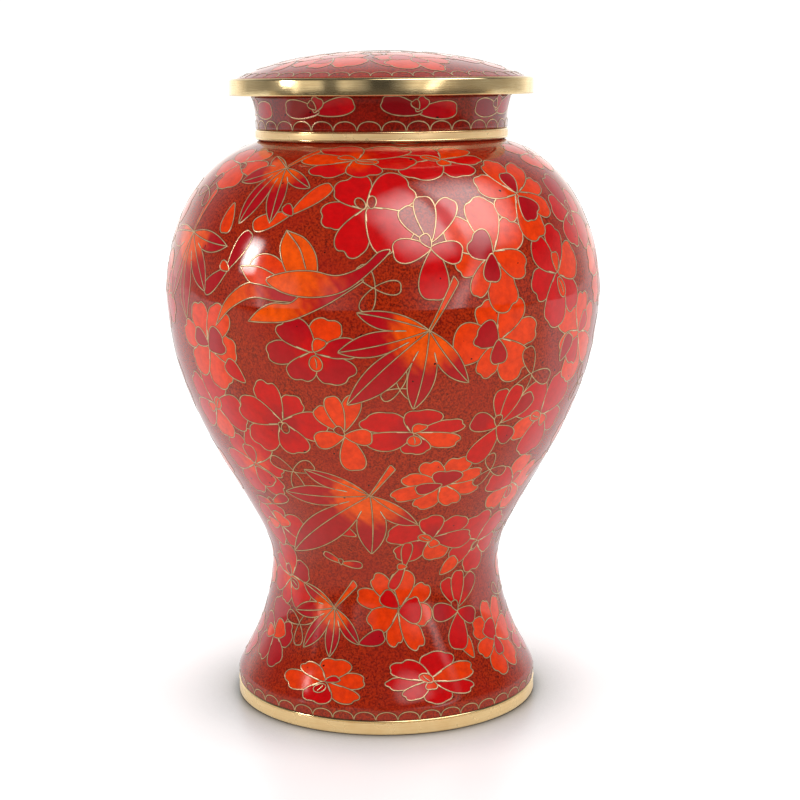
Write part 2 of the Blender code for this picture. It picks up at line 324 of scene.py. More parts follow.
class Shape:
    """A closed outline, the enamel inside it and the wires on it.

    fill is None or (near colour, far colour, centre, start, end): the colour goes from near to far with
    the distance from the centre. The wires lie bright and free, their brightness a painted sheen; the ribs
    are dull like the outline.
    """

    def __init__(self, outline, fill=None, wires=(), ribs=(), outlined=True):
        self.outline = resample(np.array(outline, float), WIRE_STEP, True)
        self.fill = fill
        self.wires = [np.array(wire, float) for wire in wires]
        self.ribs = [np.array(rib, float) for rib in ribs]
        self.outlined = outlined

    def moved(self, turn=0.0, shift=(0.0, 0.0), stretch=(1.0, 1.0)):
        """A copy stretched, then turned (degrees, anticlockwise), then shifted."""
        sine, cosine = math.sin(math.radians(turn)), math.cos(math.radians(turn))
        spin = np.array([[cosine, sine], [-sine, cosine]])

        def move(points):
            return (np.array(points) * stretch) @ spin + shift

        fill = self.fill
        if fill:
            fill = (*fill[:2], tuple(move([fill[2]])[0]), *fill[3:])
        wires, ribs = ([move(line) for line in lines] for lines in (self.wires, self.ribs))
        return Shape(move(self.outline), fill, wires, ribs, self.outlined)


def resample(points, step, closed=False):
    """The polyline cut into equal steps."""
    if closed:
        points = np.vstack([points, points[:1]])
    along = arc_length(points)
    count = max(2, round(along[-1] / step))
    even = np.linspace(0, along[-1], count + 1)
    return read(points, along, even[:-1] if closed else even)


def bend(start, end, sag):
    """A curve from start to end that swings sag times its length to the left."""
    start, end = np.array(start, float), np.array(end, float)
    reach = end - start
    middle = (start + end) / 2 + sag * np.array([-reach[1], reach[0]])
    t = np.linspace(0, 1, 12)[:, None]
    return (1 - t) ** 2 * start + 2 * t * (1 - t) * middle + t * t * end


def petal(length, width, fill=None, dent=0.1, base=0.35):
    """One petal, up from the origin, with a dent in its tip; base is how full it is at the foot."""
    turn = np.linspace(0, 2 * math.pi, 40, endpoint=False)
    rise = (1 - np.cos(turn)) / 2
    x = width / 2 * np.sin(turn) * (base + (1 - base) * rise) * 1.2
    y = length * (rise - dent * np.exp(-(((turn - math.pi) / 0.32) ** 2)))
    return Shape(np.column_stack([x, y]), fill)


def glow(near, far, reach):
    """A fill that starts near the origin and has turned by reach."""
    if far is GROUND:
        return None
    return (near, far, (0.0, 0.0), reach * 0.2, reach * 0.62)


def lobe(length, width, fill, dice):
    """A broad petal, up from the origin, with one or two dents in its far edge."""
    turn = np.linspace(0, 2 * math.pi, 48, endpoint=False)
    rise = (1 - np.cos(turn)) / 2
    points = np.column_stack([width * 0.66 * np.sin(turn) * (0.3 + 0.7 * rise), length * rise])
    middle = np.array([0, length * 0.5])
    first = math.pi + dice.uniform(-0.5, 0.5)
    second = first + dice.choice((-0.95, 0.95))
    for at, depth in ((first, dice.uniform(0.08, 0.2)), (second, dice.uniform(0.0, 0.12))):
        dent = depth * np.exp(-(((turn - at) / 0.2) ** 2))
        points = middle + (points - middle) * (1 - dent)[:, None]
    return Shape(points, fill)


# The part of a petal's outline, in wire steps from its foot, that is bright on either side: a wire beside it
# there carries the painted sheen
NEAR_HEART = slice(3, 9)
NEAR_HEART_BACK = slice(-9, -2)


def flower(size, petals, near, far, heart, heart_colour, seed):
    """Petals that overlap round a heart; the colours run from near to far, the seed sets the draws."""
    dice = random.Random(seed)
    widths = [dice.uniform(0.75, 1.3) for _ in range(petals)]
    arcs = np.array(widths) / sum(widths) * 2 * math.pi
    turns = dice.uniform(0, 2 * math.pi) + np.cumsum(arcs) - arcs / 2
    odd = dice.randrange(petals) if heart == "inner" else None
    ring = []
    for i, (turn, arc) in enumerate(zip(turns, arcs)):
        length = size * dice.uniform(0.86, 1.16)
        width = length * 1.45 * math.sin(arc / 2)
        fill = glow(heart_colour, heart_colour, size) if i == odd else glow(near, far, size)
        made = lobe(length, width, fill, dice)
        sides = (made.outline[NEAR_HEART], made.outline[NEAR_HEART_BACK])
        made.wires = [side * (0.9, 1) for side in sides]
        ring.append(made.moved(math.degrees(turn)))
    dice.shuffle(ring)
    return heart_of(heart, size, heart_colour, dice) + ring


def heart_of(kind, size, colour, dice):
    """The small shapes in the middle of a flower: a "pair" of petals, two "loops" or an "inner" flower."""
    fill = glow(colour, colour, size)
    turn = dice.uniform(0, 360)
    if kind == "pair":
        big = lobe(size * 0.6, size * 0.68, fill, dice).moved(turn, (0, -0.1 * size))
        small = petal(size * 0.55, size * 0.46, fill, 0.05).moved(turn + dice.uniform(120, 170))
        return [small, big]
    ring = petal(size * 0.3, size * 0.17, None, 0.0, 0.8)
    if kind == "loops":
        return [ring.moved(turn, (0.08 * size, 0)), ring.moved(turn + 38, (-0.06 * size, 0))]
    oval = petal(size * 0.42, size * 0.24, fill, 0.0, 0.8)
    oval.ribs = [bend((0, size * 0.06), (0, size * 0.34), 0.12)]
    return [oval.moved(turn, (0, -0.1 * size)), petal(size * 0.4, size * 0.3, fill).moved(turn + 150)]


LEAF_SAG = -0.24  # how far a leaf's edges swing out, for each mm of their length
STALK_WIDTH = 2.6  # mm


def leaf(tips, stem):
    """A palm-shaped leaf: tips and stem end are offsets from the junction, in order round it."""
    tips = [np.array(tip, float) for tip in tips]
    reach = sum(np.linalg.norm(tip) for tip in tips) / len(tips)
    hollows = []
    for left, right in zip(tips, tips[1:]):
        hollows.append(unit(unit(left) + unit(right)) * reach * 0.4)
    starts = [np.zeros(2), *hollows]
    ends = [*hollows, np.zeros(2)]
    outline, wires, ribs = [], [], []
    for i, tip in enumerate(tips):
        outline.extend(bend(starts[i], tip, LEAF_SAG)[:-1])
        outline.extend(bend(tip, ends[i], LEAF_SAG)[:-1])
        ribs.append(bend((0, 0), tip * 0.99, 0.05 if i % 2 else -0.06))
    for hollow in hollows:
        wires.append(bend(hollow, hollow * 0.66, 0.03))
    fill = (AMBER, CRIMSON, (0.0, 0.0), reach * 0.3, reach * 0.54)
    return [Shape(outline, fill, wires, ribs), stalk(stem)]


def stalk(end):
    """A narrow strip from the origin with a slanted cut at its end."""
    end = np.array(end, float)
    side = unit(np.array([-end[1], end[0]])) * STALK_WIDTH / 2
    outline = [-side * 0.3, end - side - end * 0.06, end + side * 1.3, side * 0.3]
    return Shape(resample(np.array(outline), 1.0, True), glow(AMBER, ORANGE, 20.0))


def blade(edge, tip, ribs=(), near=AMBER, far=CRIMSON):
    """A curved blade drawn through the points of its edge, brightest at its tip."""
    turns = [*edge, edge[0]]
    fill = (near, far, tip, 16.0, 34.0)
    return Shape(smooth(turns)[:-1], fill, ribs=[smooth(rib) for rib in ribs])


def spray():
    """Broad blades that fan out to the left from a long stem; those put down first lie on top."""
    main = ((34, 17), (29, 12), (20, 8.5), (10, 10), (0, 9.3), (-8.4, 6), (-2, 2), (10, 0.3), (22, 2.5),
            (31, 9), (38.4, 17.8), (36, 17.8))
    low = ((-16.5, -9.8), (-11, -5), (-5, -2.4), (2, -2), (10, 4), (26, 6), (30, 7), (22.5, 1.5),
           (14, -3.5), (1, -8.8), (-9, -9.8))
    left = ((-34, -13), (-27, -2), (-17, 4.4), (-11, 4.2), (4, 4), (5, -1), (-3, -1.6), (-14, -0.8),
            (-24, -5))
    upper = ((-21, 10.6), (-12, 10.7), (-4, 7.8), (2, 5), (0, 3), (-11, 4.2), (-16, 5))
    round_one = ((-17, 8), (-15.5, 13), (-11, 15.6), (-5.5, 15), (-1, 11.8), (2, 8), (-8, 6))
    top = ((-2, 25), (-3.6, 19), (-1.6, 12), (3, 6), (9, 6), (12, 9), (11, 16), (6, 22))
    rib = ((-2, 25), (4.5, 18), (7.8, 10.5))
    return [
        blade(main, (-8.4, 6)),
        blade(low, (-16.5, -9.8)),
        blade(upper, (-21, 10.6), near=ORANGE),
        blade(left, (-34, -13)),
        blade(top, (-2, 25), (rib,)),
        blade(round_one, (-15, 13), near=ORANGE, far=RED),
    ]


def posy(rows):
    """Loose petals: each row is (x, y, turn, length, width, near, far)."""
    out = []
    for x, y, turn, length, width, near, far in rows:
        out.append(petal(length, width, glow(near, far, length), 0.04).moved(turn, (x, y)))
    return out


def bud(length, width, colour):
    """A single small petal."""
    return [petal(length, width, glow(colour, colour, 9), 0.05)]


def trefoil(size, colour=GROUND):
    """Three petals round a point."""
    return posy([(0, 0, turn, size, size * 0.6, colour, colour) for turn in (20, 140, 255)])


def bow(near, far, middle, size):
    """Two loops and a knot."""
    knot = (0, -1, 8, size * 0.34, size * 0.26, middle, middle)
    right = (0.5, 0, 72, size, size * 0.4, near, far)
    left = (-0.5, 0, -84, size * 1.05, size * 0.42, near, far)
    return posy([knot, right, left])


def iris(size, near, far, open_top=False):
    """A bud with upright petals, two falls and a small ring; the upright ones may be left open."""
    top = GROUND if open_top else near
    petals = (
        (0, 0, 30, 0.28, 0.22, GROUND, GROUND),
        (0, 0.1, 4, 0.9, 0.44, top, top),
        (0, 0.1, 34, 0.8, 0.44, top, top),
        (0, 0.1, -30, 0.95, 0.46, near, far),
        (0, 0, 96, 0.7, 0.5, near, far),
        (0, 0, -104, 0.6, 0.46, near, far),
        (0.06, 0, 176, 0.95, 0.62, near, near),
    )
    return posy(
        (size * x, size * y, turn, size * length, size * width, *colours)
        for x, y, turn, length, width, *colours in petals
    )


def cloud(width):
    """A small ring and a bud over two long lobes, for the neck."""
    red = glow(WINE, WINE, width)
    warm = glow(CRIMSON, RED, width)
    return [
        petal(width * 0.13, width * 0.11, None, 0.1).moved(40, (0, 0)),
        petal(width * 0.2, width * 0.17, glow(CRIMSON, CRIMSON, 9), 0.1).moved(-30, (-1, -1)),
        petal(width * 0.5, width * 0.23, red, 0.05, 0.5).moved(80, (width * 0.04, -width * 0.03)),
        petal(width * 0.52, width * 0.22, warm, 0.05, 0.5).moved(-82, (-width * 0.02, -1)),
    ]


def scallop(width, height):
    """A half-round cell standing on an edge; only its arc is a wire."""
    turn = np.linspace(0, math.pi, 18)
    arc = np.column_stack([-np.cos(turn) * width / 2, np.sin(turn) ** 0.8 * height])
    return Shape(arc, None, ribs=[arc], outlined=False)


# ---------------- laying the motifs on a wall


class Placed:
    """A shape at its place on a wall."""

    def __init__(self, wall, shape, bearing, station):
        self.wall, self.shape = wall, shape
        self.bearing, self.station = bearing, station
        self.outline = wall.spread(shape.outline, bearing, station)
        self.lines = [(self.outline, True, WIRE_OUTLINE)] if shape.outlined else []
        for lines, tone in ((shape.ribs, WIRE_OUTLINE), (shape.wires, WIRE_PAINTED_SHEEN)):
            for line in lines:
                spread = wall.spread(resample(line, WIRE_STEP), bearing, station)
                self.lines.append((spread, False, tone))
        spots = wall.surface(self.outline)[0]
        self.centre = spots.mean(axis=0)
        self.reach = np.linalg.norm(spots - self.centre, axis=1).max()

    def near(self, other):
        return np.linalg.norm(self.centre - other.centre) < self.reach + other.reach


class Pattern:
    """The motifs of one wall, first ones on top."""

    def __init__(self, wall):
        self.wall = wall
        self.placed = []

    def put(self, shapes, bearing, height, turn=0.0, stretch=(1.0, 1.0)):
        """Lay shapes at a bearing in degrees and a height in mm."""
        station = self.wall.station(height)
        for shape in shapes:
            moved = shape.moved(turn, stretch=stretch)
            self.placed.append(Placed(self.wall, moved, math.radians(bearing), station))

    def covers(self, index):
        mine = self.placed[index]
        return [other for other in self.placed[:index] if mine.near(other)]


def inside(points, polygon):
    """Which of the points lie in the polygon."""
    x, y = points[:, 0][:, None], points[:, 1][:, None]
    x0, y0 = polygon[:, 0][None, :], polygon[:, 1][None, :]
    x1, y1 = np.roll(x0, -1), np.roll(y0, -1)
    with np.errstate(divide="ignore", invalid="ignore"):
        crossing = ((y0 > y) != (y1 > y)) & (x < (x1 - x0) * (y - y0) / (y1 - y0) + x0)
    return crossing.sum(axis=1) % 2 == 1


def hidden(points, polygons):
    """Which of the points lie in any of the polygons."""
    out = np.zeros(len(points), bool)
    for polygon in polygons:
        out |= inside(points, polygon)
    return out


def fill_of(placed, covers):
    """Triangles of the part of a shape that nothing covers: flat points and index triples."""
    wall, shape = placed.wall, placed.shape
    masks = [wall.gather(c.outline, placed.bearing, placed.station) for c in covers]
    low, high = shape.outline.min(axis=0), shape.outline.max(axis=0)
    points, edges = [], []
    for rim in (shape.outline, *masks):
        follow = np.roll(rim, -1, axis=0)
        meets = (np.minimum(rim, follow) < high) & (np.maximum(rim, follow) > low)
        meets = meets.all(axis=1)
        for here, there in zip(rim[meets], follow[meets]):
            edges.append((len(points), len(points) + 1))
            points.extend((here, there))
    columns = np.arange(low[0], high[0], FILL_STEP)
    rows = np.arange(low[1], high[1], FILL_STEP)
    grid = np.array([(x, y) for x in columns for y in rows])
    grid = grid[inside(grid, shape.outline) & ~hidden(grid, masks)]
    points.extend(grid)
    result = delaunay_2d_cdt([Vector(p) for p in points], edges, [], 0, 1e-3)
    flat = np.array([tuple(v) for v in result[0]])
    triangles = np.array([f for f in result[2] if len(f) == 3])
    middles = flat[triangles].mean(axis=1)
    keep = inside(middles, shape.outline) & ~hidden(middles, masks)
    return flat, triangles[keep]


class Sheet:
    """A mesh gathered from many small pieces, with a colour and a normal at each vertex."""

    def __init__(self):
        self.spots, self.normals, self.colours, self.faces = [], [], [], []
        self.count = 0

    def add(self, spots, normals, colours, faces):
        self.faces.extend(tuple(int(i) + self.count for i in face) for face in faces)
        self.spots.append(spots)
        self.normals.append(normals)
        self.colours.append(colours)
        self.count += len(spots)

    def build(self, name, material):
        mesh = bpy.data.meshes.new(name)
        spots = np.vstack(self.spots) * MM
        mesh.from_pydata(spots.tolist(), [], self.faces)
        tint = mesh.color_attributes.new("Tint", "FLOAT_COLOR", "POINT")
        colours = np.vstack(self.colours)
        colours = np.column_stack([colours, np.ones(len(colours))])
        tint.data.foreach_set("color", colours.ravel().astype(np.float32))
        mesh.shade_smooth()
        mesh.normals_split_custom_set_from_vertices(np.vstack(self.normals).tolist())
        return new_object(name, mesh, material)


def add_fill(sheet, placed, covers):
    """The enamel of a shape: its colours meet along a ragged edge."""
    if placed.shape.fill is None:
        return
    flat, triangles = fill_of(placed, covers)
    if not len(triangles):
        return
    used, triangles = np.unique(triangles, return_inverse=True)
    triangles = triangles.reshape(-1, 3)
    flat = flat[used]
    spots, normals = placed.wall.surface(placed.wall.spread(flat, placed.bearing, placed.station))
    near, far, centre, start, end = placed.shape.fill
    ragged = 0.2 * (end - start) * np.sin(flat[:, 0] * 1.1 + np.sin(flat[:, 1] * 0.9) * 2)
    share = (np.linalg.norm(flat - centre, axis=1) + ragged - start) / (end - start)
    share = np.clip(share, 0, 1)[:, None]
    share = share * share * (3 - 2 * share)
    colours = np.array(near) * (1 - share) + np.array(far) * share
    sheet.add(spots + normals * FILL_LIFT, normals, colours, triangles)


def visible_runs(line, closed, polygons):
    """The stretches of a line that nothing covers."""
    free = ~hidden(line, polygons)
    if free.all():
        return [(line, closed)]
    if closed:
        start = int(np.argmin(free))
        line, free = np.roll(line, -start, axis=0), np.roll(free, -start)
    runs, run = [], []
    for i, shown in enumerate(free):
        if shown:
            if not run and i:
                run.append(crossing(line[i - 1], line[i], polygons))
            run.append(line[i])
        elif run:
            run.append(crossing(line[i], line[i - 1], polygons))
            runs.append(run)
            run = []
    if run:
        if closed:
            run.append(crossing(line[0], line[-1], polygons))
        runs.append(run)
    return [(np.array(r), False) for r in runs if len(r) > 2]


def crossing(covered, free, polygons):
    """The point between the two where the line comes out from under the polygons."""
    for _ in range(6):
        middle = (covered + free) / 2
        if hidden(middle[None, :], polygons)[0]:
            covered = middle
        else:
            free = middle
    return free


def add_wire(sheet, wall, line, closed, tone):
    """A slightly rounded ribbon along the line, with a dark seam on each side that is partly painted shade.
    """
    spots, normals = wall.surface(line)
    if closed:
        along = np.roll(spots, -1, axis=0) - np.roll(spots, 1, axis=0)
    else:
        along = np.gradient(spots, axis=0)
    side = np.cross(unit(along), normals)
    count = len(spots)
    width = np.ones(count)
    if not closed:
        width[0] = width[-1] = WIRE_END
    rows, leans, tints = [], [], []
    for offset, lift, brass in WIRE_SECTION:
        rows.append(spots + side * (offset * width)[:, None] + normals * lift)
        leans.append(unit(normals + side * (offset * WIRE_ROUNDING)))
        tint = np.array(tone) * brass + np.array(WIRE_SEAM_AND_SHADE) * (1 - brass)
        tints.append(np.tile(tint, (count, 1)))
    faces = quads(len(WIRE_SECTION), count, False, closed, flip=True)
    sheet.add(np.vstack(rows), np.vstack(leans), np.vstack(tints), faces)


def wrapped(polygon, line):
    """A polygon in wall coordinates brought to the same turn as the line."""
    shift = round((line[:, 0].mean() - polygon[:, 0].mean()) / (2 * math.pi)) * 2 * math.pi
    return polygon + (shift, 0.0)


def lay(pattern, sheet_for):
    """Fills and wires of a pattern, each into the sheets that sheet_for picks by height in mm."""
    flat = isinstance(pattern.wall, Dome)
    for index, placed in enumerate(pattern.placed):
        covers = pattern.covers(index)
        fills, wires = sheet_for(placed.centre[2])
        add_fill(fills, placed, covers)
        for line, closed, tone in placed.lines:
            polygons = [c.outline if flat else wrapped(c.outline, line) for c in covers]
            for run, whole in visible_runs(line, closed, polygons):
                add_wire(wires, pattern.wall, run, whole, tone)


# ---------------- the pattern of this vase


def body_leaves(pattern, side):
    """The big leaves, which lie over the flowers."""
    put = pattern.put
    put(leaf([(-27, 7), (-34, -8), (-30, -29), (-5, -31), (16, -21)], (11, 19)), 11 + side, 165)
    put(leaf([(-26, 12), (-36, -1), (-37, -34), (-1, -31), (18, -16)], (10, 15)), -5 + side, 98)
    put(leaf([(-9, 7), (-19, -8), (-12, -26), (3, -25), (15, -10)], (9, 12)), -33 + side, 223)
    put(leaf([(-26, -2), (-14, -28), (2, -34), (17, -22), (26, -4)], (4, 19)), -61 + side, 198)
    put(leaf([(-16, 8), (-20, -4), (-13, -18), (0, -20), (12, -14)], (9, 11)), -25 + side, 47)


EVEN = (1.0, 1.0)
# Flowers of one side: bearing in degrees, height in mm, stretch across and up, then what flower() takes
FLOWERS = (
    (-9, 226, (1.5, 0.75), 14, 6, ORANGE, RED, "inner", ORANGE),
    (20, 226, (1.5, 0.8), 14, 6, RED, RED, "inner", ORANGE),
    (-4, 209, EVEN, 18, 5, RED, RED, "loops", ORANGE),
    (42, 213, EVEN, 18, 7, ORANGE, ORANGE, "pair", CRIMSON),
    (-56, 224, (1.2, 0.8), 15, 5, ORANGE, ORANGE, "loops", RED),
    (64, 204, EVEN, 16, 5, RED, RED, "inner", CRIMSON),
    (28, 192, (1.0, 1.12), 18, 7, ORANGE, ORANGE, "pair", CRIMSON),
    (49, 183, (0.9, 1.15), 18, 6, RED, RED, "inner", ORANGE),
    (29, 160, EVEN, 18, 6, ORANGE, ORANGE, "pair", CRIMSON),
    (60, 158, (1.0, 1.1), 17, 6, ORANGE, ORANGE, "pair", RED),
    (-50, 156, EVEN, 18, 6, ORANGE, ORANGE, "pair", CRIMSON),
    (-17, 157, (1.25, 0.9), 16, 6, RED, CRIMSON, "inner", ORANGE),
    (-29, 128, (1.1, 0.95), 17, 6, CRIMSON, RED, "loops", ORANGE),
    (-54, 131, EVEN, 16, 5, RED, RED, "inner", ORANGE),
    (8, 125, (1.25, 0.66), 17, 6, CRIMSON, RED, "inner", ORANGE),
    (50, 127, EVEN, 17, 5, RED, RED, "inner", ORANGE),
    (19, 102, (1.12, 0.78), 18, 8, ORANGE, ORANGE, "pair", CRIMSON),
    (-46, 108, EVEN, 17, 6, ORANGE, RED, "pair", RED),
    (51, 97, EVEN, 16, 5, ORANGE, ORANGE, "inner", RED),
    (20, 77, (1.15, 0.85), 15, 6, CRIMSON, RED, "inner", ORANGE),
    (-50, 80, EVEN, 14, 5, CRIMSON, RED, "pair", ORANGE),
    (46, 72, EVEN, 15, 5, RED, RED, "loops", ORANGE),
    (6, 48, (0.98, 1.06), 16, 8, ORANGE, ORANGE, "pair", RED),
    (-54, 56, EVEN, 14, 6, ORANGE, RED, "inner", CRIMSON),
    (-60, 31, EVEN, 14, 5, CRIMSON, CRIMSON, "pair", ORANGE),
    (-25, 19, (1.35, 0.68), 14, 6, ORANGE, ORANGE, "inner", RED),
    (18, 20, (1.3, 0.68), 15, 7, RED, RED, "inner", ORANGE),
    (57, 30, EVEN, 15, 7, ORANGE, ORANGE, "pair", RED),
    (77, 180, EVEN, 16, 5, ORANGE, ORANGE, "pair", RED),
    (94, 205, EVEN, 17, 6, RED, RED, "loops", CRIMSON),
    (86, 150, EVEN, 17, 5, RED, RED, "inner", ORANGE),
    (82, 118, EVEN, 17, 6, ORANGE, ORANGE, "pair", CRIMSON),
    (98, 133, EVEN, 14, 5, CRIMSON, CRIMSON, "inner", ORANGE),
    (84, 84, EVEN, 15, 5, RED, RED, "pair", ORANGE),
    (90, 56, EVEN, 14, 5, ORANGE, ORANGE, "inner", RED),
    (88, 26, (1.2, 0.9), 14, 6, RED, RED, "pair", ORANGE),
    (72, 226, (1.3, 0.8), 14, 5, ORANGE, ORANGE, "inner", RED),
    (100, 100, EVEN, 14, 5, ORANGE, ORANGE, "loops", CRIMSON),
    (104, 174, EVEN, 16, 5, RED, RED, "inner", ORANGE),
)

# Small motifs of one side: what, bearing and height, then the turn in degrees
SMALL = (
    (bow(ORANGE, ORANGE, RED, 18), -25, 207, 38),
    (bow(CRIMSON, CRIMSON, ORANGE, 17), -42, 186, 55),
    (iris(21, RED, RED, True), 12, 195, 0),
    (iris(18, ORANGE, ORANGE), -11, 124, 10),
    (iris(19, RED, CRIMSON), 33, 125, -25),
    (iris(17, RED, CRIMSON), 36, 44, -10),
    (trefoil(12), 41, 145, 0),
    (trefoil(11), -30, 107, 40),
    (trefoil(10), -2, 181, 15),
    (trefoil(9), -65, 214, 80),
    (bud(13, 7.5, ORANGE), -46, 210, 180),
    (bow(ORANGE, CRIMSON, GROUND, 12), -47, 90, 20),
    (bow(ORANGE, CRIMSON, GROUND, 9), -21, 66, -10),
    (trefoil(9), 70, 136, 10),
    (trefoil(9), 68, 74, 60),
    (bow(CRIMSON, CRIMSON, ORANGE, 14), 70, 104, 45),
    (trefoil(8), 72, 44, 30),
    (bow(RED, RED, ORANGE, 12), 9, 65, 80),
    (bud(11, 7, RED), -12, 79, 60),
    (bud(10, 7, ORANGE), 27, 60, -50),
    (trefoil(9), 36, 106, 0),
    (trefoil(8), 4, 143, 100),
    (bud(12, 8, CRIMSON), 52, 148, -30),
    (bud(12, 8, RED), -38, 143, 50),
    (bud(11, 7, CRIMSON), -12, 34, -70),
    (bud(11, 7, ORANGE), 40, 25, 20),
    (trefoil(9), -44, 38, 50),
    (bud(12, 7, ORANGE), 17, 232, 80),
)

SIDES = (0, 180)  # bearings of the front and the back, which carry the same motifs
NECK_CLOUDS = 8
LID_FLOWERS = 7


def scallop_row(pattern, count, radius, place, height, first=0):
    """A border of scallops at a place on a wall that has the given radius there."""
    width = 2 * math.pi * radius / count * 0.98
    for k in range(count):
        pattern.put([scallop(width, height)], (k + first) * 360 / count, place)


def body_pattern(wall):
    """Foot border, leaves and sprays on top, then the small motifs and the flowers."""
    pattern = Pattern(wall)
    scallop_row(pattern, 45, 62.0, 6.2, 3.3)
    for side in SIDES:
        body_leaves(pattern, side)
        pattern.put(spray(), -24 + side, 177)
    for side in SIDES:
        for motif, bearing, height, turn in SMALL:
            pattern.put(motif, bearing + side, height, turn)
        for seed, (bearing, height, stretch, *looks) in enumerate(FLOWERS):
            pattern.put(flower(*looks, seed + side), bearing + side, height, stretch=stretch)
    return pattern


def neck_pattern(wall):
    """A border under a band of clouds."""
    pattern = Pattern(wall)
    scallop_row(pattern, 34, 50.0, 236.3, 3.6, 0.5)
    for k in range(NECK_CLOUDS):
        pattern.put(cloud(34), 16 + k * 360 / NECK_CLOUDS, 244.4, 4 if k % 2 else -5)
    return pattern


def lid_pattern(wall):
    """A border, a flower in the middle and a ring of flowers round it."""
    pattern = Pattern(wall)
    scallop_row(pattern, 45, 57.6, 57.6, 3.4)
    pattern.put(flower(14, 6, RED, RED, "pair", ORANGE, 5), 0, 0)
    for k in range(LID_FLOWERS):
        colour, other = ((ORANGE, RED), (RED, ORANGE))[k % 2]
        turn = 20 + k * 360 / LID_FLOWERS
        pattern.put(flower(16, 6, colour, colour, "pair", other, 40 + k), turn, 36)
        pattern.put(bud(13, 8, other), turn + 26, 40, 40 * k)
        pattern.put(trefoil(8, ORANGE), turn + 24, 22, 30 * k)
    return pattern


# ---------------- materials


def material(name):
    """A new material, its node tree and its surface shader."""
    made = bpy.data.materials.new(name)
    made.use_nodes = True
    return made, made.node_tree, made.node_tree.nodes["Principled BSDF"]


def join(tree, socket, value):
    """Set a socket to a value or join it to an output."""
    if isinstance(value, bpy.types.NodeSocket):
        tree.links.new(value, socket)
    else:
        socket.default_value = value


def feed(tree, made, **inputs):
    """Set or join the named inputs of a node."""
    for key, value in inputs.items():
        join(tree, made.inputs[key.replace("_", " ")], value)


def node(tree, kind, settings=None, **inputs):
    """A new node with its settings and inputs."""
    made = tree.nodes.new("ShaderNode" + kind)
    for key, value in (settings or {}).items():
        setattr(made, key, value)
    feed(tree, made, **inputs)
    return made


def place(tree, stretch=(1, 1, 1)):
    """Object coordinates in mm, stretched."""
    spot = node(tree, "TexCoord").outputs["Object"]
    scale = tuple(s / MM for s in stretch)
    return node(tree, "Mapping", Vector=spot, Scale=scale).outputs["Vector"]


def noise(tree, where, size, detail=2.0, roughness=0.5):
    """Noise from 0 to 1 with features about size mm wide."""
    made = node(tree, "TexNoise", Vector=where, Scale=1 / size, Detail=detail, Roughness=roughness)
    return made.outputs["Fac"]


def ramp(tree, value, low, high, start=0.0, end=1.0):
    """The value stretched from low..high to start..end and held there."""
    made = node(tree, "MapRange", Value=value, From_Min=low, From_Max=high, To_Min=start, To_Max=end)
    return made.outputs["Result"]


def mix(tree, share, first, second, blend="MIX"):
    """Two colours mixed."""
    made = node(tree, "Mix", {"data_type": "RGBA", "blend_type": blend})
    join(tree, made.inputs[0], share)
    for socket, value in zip(made.inputs[6:8], (first, second)):
        join(tree, socket, value if isinstance(value, bpy.types.NodeSocket) else (*value, 1.0))
    return made.outputs[2]


def bumps(tree, height, strength, depth):
    """Normals of a surface with bumps about depth mm high."""
    made = node(tree, "Bump", Height=height, Strength=strength, Distance=depth * MM)
    return made.outputs["Normal"]


def tint_of(tree):
    """The colour that a sheet carries at each point."""
    return node(tree, "VertexColor", {"layer_name": "Tint"}).outputs["Color"]


def glossy_enamel(tree, shader, colour, where):
    """The polished surface shared by all enamels: a soft waviness, a few pits, smears of wear."""
    pits = ramp(tree, noise(tree, where, 2.4, 1.0), 0.785, 0.8)
    colour = mix(tree, pits, colour, shade(24, 8, 8))
    wear = ramp(tree, noise(tree, where, 9.0, 3.0), 0.3, 0.8, 0.05, 0.12)
    waves = bumps(tree, noise(tree, where, 7.0, 1.0), 0.25, 0.2)
    feed(tree, shader, Base_Color=colour, Roughness=wear, Normal=waves, IOR=1.55)


def ground_enamel(name, dark, light):
    """Brick-red enamel full of darker and lighter grains."""
    made, tree, shader = material(name)
    where = place(tree)
    grain = ramp(tree, noise(tree, where, 0.85, 2.0, 0.6), 0.34, 0.6)
    specks = ramp(tree, noise(tree, where, 0.7, 1.0), 0.58, 0.7, 0.0, 0.75)
    clouds = ramp(tree, noise(tree, where, 16.0, 2.0), 0.4, 0.7, 0.0, 0.45)
    colour = mix(tree, grain, dark, light)
    colour = mix(tree, specks, colour, shade(70, 18, 8))
    colour = mix(tree, clouds, colour, shade(160, 26, 14))
    glossy_enamel(tree, shader, colour, where)
    return made


def fill_enamel():
    """The clear colours inside the wires, darker where the enamel is thick."""
    made, tree, shader = material("fill_enamel")
    where = place(tree)
    depth = ramp(tree, noise(tree, where, 3.0, 3.0, 0.6), 0.35, 0.75, 0.0, 0.38)
    colour = mix(tree, depth, tint_of(tree), shade(128, 4, 6))
    glossy_enamel(tree, shader, colour, where)
    return made


def wire_brass():
    """Brass wire ground flush with the enamel, its seams dark, partly with painted shade."""
    made, tree, shader = material("wire_brass")
    where = place(tree)
    worn = ramp(tree, noise(tree, where, 3.5, 2.0), 0.35, 0.7, 0.0, 0.45)
    colour = mix(tree, worn, tint_of(tree), shade(110, 66, 44), "MULTIPLY")
    grit = bumps(tree, noise(tree, where, 1.0), 0.2, 0.1)
    feed(tree, shader, Base_Color=colour, Metallic=0.4, Roughness=0.24, Normal=grit)
    return made


